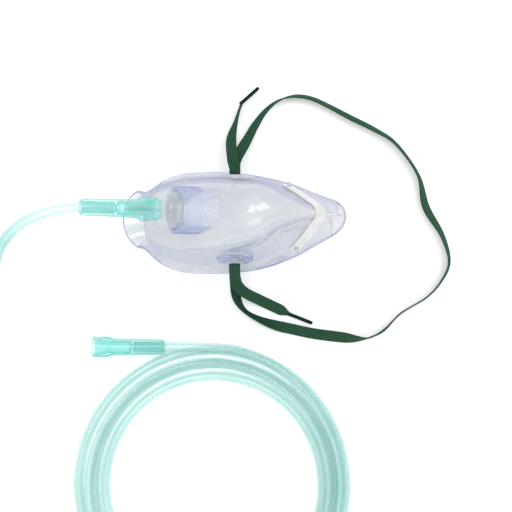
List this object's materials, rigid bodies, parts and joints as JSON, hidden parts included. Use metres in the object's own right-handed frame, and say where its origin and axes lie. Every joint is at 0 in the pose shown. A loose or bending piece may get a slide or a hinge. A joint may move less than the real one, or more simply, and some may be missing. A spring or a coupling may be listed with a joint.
{
  "type": "oxygen face mask",
  "caption": "Clear face mask with nose clip, port cuff, swivel adapter, strap eyes, elastic head strap, push-on connectors and coiled oxygen tubing.",
  "frame": {"origin": "on the table under the centre of the mask's outline, lying face down on its cheek edges", "axes": "+X from chin to nose, +Y to the wearer's right, +Z away from the face"},
  "size_m": [0.296, 0.3206, 0.0822],
  "materials": {
    "clear_vinyl": "clear, glossy, faint blue",
    "aluminium": "matte",
    "clear_plastic": "clear, glossy",
    "teal_plastic": "translucent, glossy",
    "tubing": "translucent, glossy",
    "elastic": "ribbed, matte"
  },
  "bodies": {
    "mask": {"mask_shell": "clear_vinyl", "nose_clip": "aluminium", "tubing_lead": "tubing", "tubing_coil": "tubing", "tubing_tail": "tubing", "supply_connector": "teal_plastic", "strap_end_right": "elastic", "strap_loop": "elastic", "strap_end_left": "elastic", "strap_tail_right": "elastic", "strap_tail_left": "elastic", "strap_tip_right": "elastic", "strap_tip_left": "elastic"},
    "adapter": {"swivel_adapter": "clear_plastic"},
    "connector": {"mask_connector": "teal_plastic"},
    "eye_right": {"strap_eye_right": "clear_plastic"},
    "eye_left": {"strap_eye_left": "clear_plastic"}
  },
  "joints": [
    {"name": "adapter_swivel", "type": "hinge", "parent": "mask", "child": "adapter", "pos_m": [-0.0313, 0.0006, 0.0495], "axis": [-0.8692, -0.0456, 0.4924], "continuous": true},
    {"name": "connector_pull", "type": "slide", "parent": "mask", "child": "connector", "axis": [-0.8692, -0.0456, 0.4924], "range_m": [0, 0.02], "deforming": ["tubing_lead"]},
    {"name": "eye_right_swivel", "type": "hinge", "parent": "mask", "child": "eye_right", "pos_m": [0.0006, 0.0239, 0.0175], "axis": [0, 0.9816, 0.1908], "range_deg": [-60, 60], "deforming": ["strap_tail_right", "strap_end_right"]},
    {"name": "eye_left_swivel", "type": "hinge", "parent": "mask", "child": "eye_left", "pos_m": [0.0006, -0.0239, 0.0175], "axis": [0, -0.9816, 0.1908], "range_deg": [-60, 60], "deforming": ["strap_tail_left", "strap_end_left"]}
  ]
}
